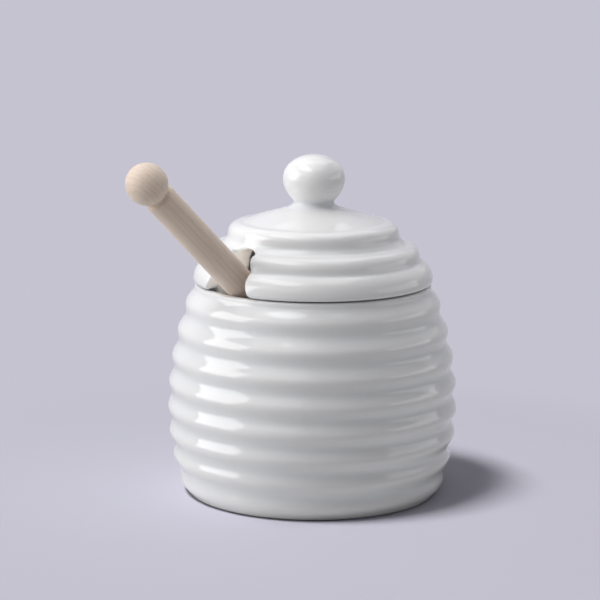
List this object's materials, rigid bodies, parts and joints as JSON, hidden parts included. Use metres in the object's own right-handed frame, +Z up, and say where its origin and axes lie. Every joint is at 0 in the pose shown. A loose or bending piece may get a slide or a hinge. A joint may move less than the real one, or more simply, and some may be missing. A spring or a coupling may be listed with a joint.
{
  "type": "honey pot",
  "caption": "Ribbed round glazed honey pot with a lift-off knob lid, a notch in the lid's edge and a turned wooden dipper that leans in it.",
  "frame": {"origin": "on the pot's axis, in the plane of the foot ring that it stands on", "axes": "+Z up along the pot's axis, -X towards the lid's notch and the dipper's handle, XZ is the mirror plane"},
  "size_m": [0.1369, 0.105, 0.1259],
  "materials": {
    "pot_glaze": "gloss white glaze, unglazed foot ring",
    "lid_glaze": "gloss white glaze",
    "beech": "fine sanded pale beech, uncoated"
  },
  "bodies": {
    "pot": {"pot": "pot_glaze"},
    "lid": {"lid": "lid_glaze"},
    "dipper": {"dipper": "beech"}
  },
  "joints": [
    {"name": "lid_lift", "type": "slide", "parent": "pot", "child": "lid", "axis": [0, 0, 1], "range_m": [0, 0.1]},
    {"name": "dipper_draw", "type": "slide", "parent": "pot", "child": "dipper", "axis": [-0.7331, 0, 0.6802], "range_m": [0, 0.05]}
  ]
}
